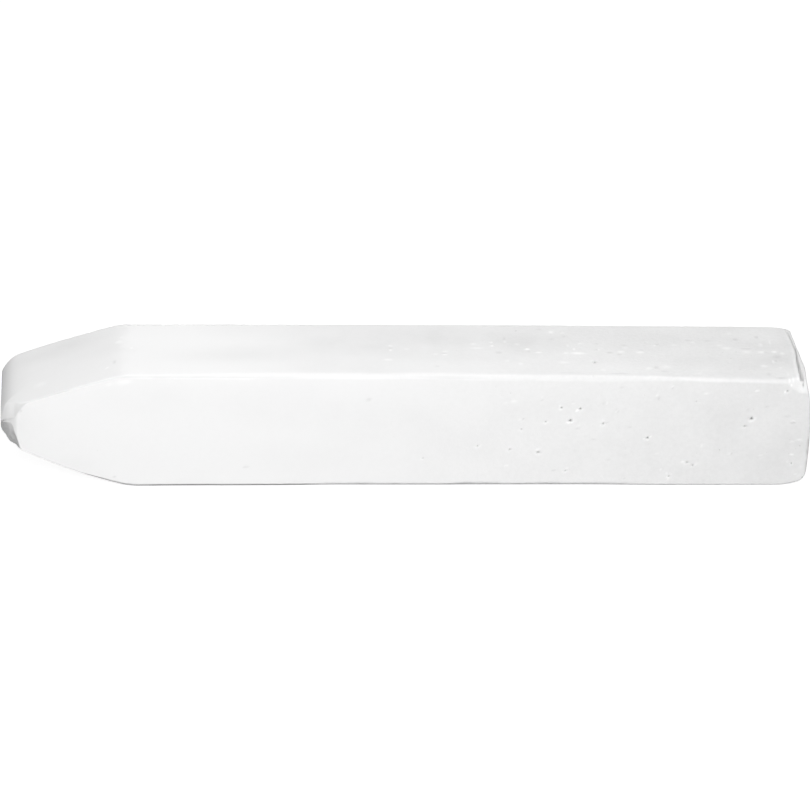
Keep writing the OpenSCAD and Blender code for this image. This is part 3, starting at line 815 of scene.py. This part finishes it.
def addNoise(tree, vector, scale, detail=2.0, roughness=0.5):
    node = tree.nodes.new("ShaderNodeTexNoise")
    tree.links.new(vector, node.inputs["Vector"])
    if isinstance(scale, (int, float)):
        node.inputs["Scale"].default_value = scale
    else:
        tree.links.new(scale, node.inputs["Scale"])
    node.inputs["Detail"].default_value = detail
    node.inputs["Roughness"].default_value = roughness
    return node.outputs[0]


def addRange(tree, value, fromLow, fromHigh, toLow=0.0, toHigh=1.0):
    node = tree.nodes.new("ShaderNodeMapRange")
    node.interpolation_type = "SMOOTHSTEP"
    for socket, given in zip(
        ("Value", "From Min", "From Max", "To Min", "To Max"), (value, fromLow, fromHigh, toLow, toHigh)
    ):
        if isinstance(given, (int, float)):
            node.inputs[socket].default_value = given
        else:
            tree.links.new(given, node.inputs[socket])
    return node.outputs["Result"]


def addMix(tree, share, a, b):
    node = tree.nodes.new("ShaderNodeMix")
    node.data_type = "RGBA"
    sockets = [q for q in node.inputs if q.type == "RGBA"]
    factor = node.inputs[0]
    if isinstance(share, (int, float)):
        factor.default_value = share
    else:
        tree.links.new(share, factor)
    for socket, value in zip(sockets, (a, b)):
        if isinstance(value, tuple):
            socket.default_value = (*value, 1.0)
        else:
            tree.links.new(value, socket)
    return [q for q in node.outputs if q.type == "RGBA"][0]


# small round pores: the middles of a share of the cells of a cell pattern
def makePores():
    group, given, out = newGroup("chalkPores", [
        ("Vector", "NodeSocketVector", None), ("Scale", "NodeSocketFloat", 600.0),
        ("Size", "NodeSocketFloat", 0.08), ("Share", "NodeSocketFloat", 0.3),
    ], [("Pore", "NodeSocketFloat")])
    cells = group.nodes.new("ShaderNodeTexVoronoi")
    group.links.new(given.outputs["Vector"], cells.inputs["Vector"])
    group.links.new(given.outputs["Scale"], cells.inputs["Scale"])
    chance = group.nodes.new("ShaderNodeSeparateColor")
    group.links.new(cells.outputs["Color"], chance.inputs[0])
    kept = addMath(group, "LESS_THAN", chance.outputs[0], given.outputs["Share"])
    size = addMath(group, "MULTIPLY", given.outputs["Size"], addMath(group, "ADD", chance.outputs[1], 0.5))
    hole = addRange(group, cells.outputs["Distance"], size, addMath(group, "MULTIPLY", size, 0.4))
    group.links.new(addMath(group, "MULTIPLY", hole, kept), out.inputs["Pore"])
    return group


# powdery grain: coarse noise and a share of fine noise, as a height and as a shade round 1
def makeGrain():
    group, given, out = newGroup("chalkGrain", [
        ("Vector", "NodeSocketVector", None), ("Coarse", "NodeSocketFloat", 2600.0),
        ("Fine", "NodeSocketFloat", 8200.0),
    ], [("Height", "NodeSocketFloat"), ("Shade", "NodeSocketFloat")])
    coarse = addNoise(group, given.outputs["Vector"], given.outputs["Coarse"], 3.0, 0.6)
    fine = addNoise(group, given.outputs["Vector"], given.outputs["Fine"], 2.0, 0.6)
    height = addMath(group, "ADD", coarse, addMath(group, "MULTIPLY", fine, 0.35))
    group.links.new(height, out.inputs["Height"])
    group.links.new(addRange(group, height, 0.35, 1.0, 0.975, 1.02), out.inputs["Shade"])
    return group


def makeChalk(v):
    material = bpy.data.materials.new("castChalk")
    material.use_nodes = True
    tree = material.node_tree
    shader = tree.nodes["Principled BSDF"]
    shader.inputs["Specular IOR Level"].default_value = 0.25
    shader.inputs["Diffuse Roughness"].default_value = 0.4
    where = tree.nodes.new("ShaderNodeTexCoord").outputs["Object"]

    def mask(name):
        node = tree.nodes.new("ShaderNodeAttribute")
        node.attribute_name = name
        return node.outputs["Fac"]

    grain = tree.nodes.new("ShaderNodeGroup")
    grain.node_tree = makeGrain()
    tree.links.new(where, grain.inputs["Vector"])
    grain.inputs["Coarse"].default_value = v["grainScale"]
    grain.inputs["Fine"].default_value = v["fineScale"]
    poreGroup = makePores()
    pores = []
    for scale, size, share in v["pores"]:
        node = tree.nodes.new("ShaderNodeGroup")
        node.node_tree = poreGroup
        tree.links.new(where, node.inputs["Vector"])
        node.inputs["Scale"].default_value = scale
        node.inputs["Size"].default_value = size
        node.inputs["Share"].default_value = share
        pores.append(node.outputs["Pore"])
    separate = tree.nodes.new("ShaderNodeSeparateXYZ")
    tree.links.new(where, separate.inputs[0])
    toButt = addRange(tree, separate.outputs["X"], v["smoothTo"], v["coarseFrom"], v["noseGrain"], 1.0)
    pore = addMath(tree, "MAXIMUM", pores[0], addMath(tree, "MULTIPLY", pores[1], v["finePoreShare"]))
    pore = addMath(tree, "MULTIPLY", pore, toButt)

    mottle = addNoise(tree, where, v["mottleScale"], 3.0, 0.55)
    # grey towards the butt and in broad patches, partly painted shade
    greyShade = addMath(tree, "MULTIPLY", mask("greyAndShade"), addRange(tree, mottle, 0.35, 0.7, 0.7, 1.25))
    colour = addMix(tree, greyShade, v["colour"], v["greyShadeColour"])
    # paler top behind the shoulder: partly rubbed chalk, partly painted light on its rear half
    colour = addMix(tree, mask("rubbedAndLit"), colour, v["rubbedLitColour"])
    # painted shade that damps the highlight of the long edges
    colour = addMix(tree, mask("edge"), colour, v["edgeShadeColour"])
    # painted shade on the chip and on the tip; the butt's end takes a quarter of the same grey
    brokenShade = addMath(tree, "MAXIMUM", mask("chip"), addMath(tree, "MULTIPLY", mask("butt"), v["buttTint"]))
    brokenShade = addMath(tree, "MAXIMUM", brokenShade, addMath(tree, "MULTIPLY", mask("tip"), v["tipShade"]))
    colour = addMix(tree, brokenShade, colour, v["brokenShadeColour"])
    # painted shade along the near-lower edge and down the butt's front edge
    colour = addMix(tree, mask("foot"), colour, v["footShadeColour"])
    # painted shade in the pinholes and on the groove's bottom
    hole = addMath(tree, "MAXIMUM", mask("pit"), addMath(tree, "MULTIPLY", mask("groove"), v["grooveShade"]))
    colour = addMix(tree, hole, colour, v["holeShadeColour"])
    # painted shade in the pores
    colour = addMix(tree, addMath(tree, "MULTIPLY", pore, v["poreShade"]), colour, v["holeShadeColour"])
    shade = tree.nodes.new("ShaderNodeVectorMath")
    shade.operation = "SCALE"
    tree.links.new(colour, shade.inputs[0])
    grainShade = addMath(tree, "MULTIPLY", addMath(tree, "SUBTRACT", grain.outputs["Shade"], 1.0), toButt)
    # the fleck tint: powder flecks, and painted light and shade on the marks, the pit collars and the
    # groove's rim
    fleckShade = addMath(tree, "MULTIPLY", mask("fleckLightShade"), v["fleckShade"])
    shares = addMath(tree, "ADD", addMath(tree, "ADD", grainShade, fleckShade), 1.0)
    tree.links.new(shares, shade.inputs["Scale"])
    tree.links.new(shade.outputs[0], shader.inputs["Base Color"])

    tree.links.new(addRange(tree, mottle, 0.3, 0.7, 0.82, 0.97), shader.inputs["Roughness"])
    height = addMath(tree, "MULTIPLY", grain.outputs["Height"], toButt)
    height = addMath(tree, "SUBTRACT", height, addMath(tree, "MULTIPLY", pore, v["poreDepth"]))
    bump = tree.nodes.new("ShaderNodeBump")
    bump.inputs["Strength"].default_value = 1.0
    bump.inputs["Distance"].default_value = v["grainHeight"]
    tree.links.new(height, bump.inputs["Height"])
    tree.links.new(bump.outputs["Normal"], shader.inputs["Normal"])
    return material


chalk.data.materials.append(makeChalk(finish))
print("chalk finished")


# plain pale floor, white background and three soft lamps, each with its place, size and power
studio = {
    "world": 0.12, "floor": 0.40, "floorLift": 0.90, "floorSide": 3.0,
    "aim": (0.0, 0.0, 6.0),
    "lamps": {
        "keyLamp": ((-25.0, -120.0, 140.0), 120.0, 0.208),
        "rightLamp": ((180.0, -220.0, 300.0), 250.0, 0.64),
        "leftLamp": ((-60.0, -160.0, 60.0), 120.0, 0.066),
    },
}


# 1 for what the camera sees, directly, mirrored or through glass
def addSeen(tree):
    path = tree.nodes.new("ShaderNodeLightPath")
    seen = addMath(tree, "MAXIMUM", path.outputs["Is Camera Ray"], path.outputs["Is Glossy Ray"])
    return addMath(tree, "MAXIMUM", seen, path.outputs["Is Transmission Ray"])


# white to what the camera sees, and dim light for the rest
def makeBackground(v):
    world = bpy.data.worlds.new("studio")
    world.use_nodes = True
    bpy.context.scene.world = world
    tree = world.node_tree
    back = tree.nodes["Background"]
    back.inputs["Color"].default_value = (1.0, 1.0, 1.0, 1.0)
    tree.links.new(addRange(tree, addSeen(tree), 0.0, 1.0, v["world"], 1.0), back.inputs["Strength"])


# a matt floor that the camera sees lifted almost to white
def makeFloor(v):
    data = bpy.data.meshes.new("floor")
    half = v["floorSide"] / 2.0
    corners = [(-half, -half, 0.0), (half, -half, 0.0), (half, half, 0.0), (-half, half, 0.0)]
    data.from_pydata(corners, [], [(0, 1, 2, 3)])
    floor = bpy.data.objects.new("floor", data)
    bpy.context.scene.collection.objects.link(floor)
    material = bpy.data.materials.new("paleFloor")
    material.use_nodes = True
    tree = material.node_tree
    shader = tree.nodes["Principled BSDF"]
    shader.inputs["Base Color"].default_value = (v["floor"], v["floor"], v["floor"], 1.0)
    shader.inputs["Roughness"].default_value = 1.0
    shader.inputs["Specular IOR Level"].default_value = 0.0
    shader.inputs["Emission Color"].default_value = (1.0, 1.0, 1.0, 1.0)
    lift = addMath(tree, "MULTIPLY", addSeen(tree), v["floorLift"])
    tree.links.new(lift, shader.inputs["Emission Strength"])
    data.materials.append(material)


def makeLamps(v):
    for name, (place, size, power) in v["lamps"].items():
        light = bpy.data.lights.new(name, "AREA")
        light.size = size * mm
        light.energy = power
        lamp = bpy.data.objects.new(name, light)
        lamp.location = Vector(place) * mm
        lamp.rotation_euler = (Vector(place) - Vector(v["aim"])).to_track_quat("Z", "Y").to_euler()
        lamp.visible_camera = False
        bpy.context.scene.collection.objects.link(lamp)


makeBackground(studio)
makeFloor(studio)
makeLamps(studio)
print("studio lit")

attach(chalk, "root")
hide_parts("chalk_stick")
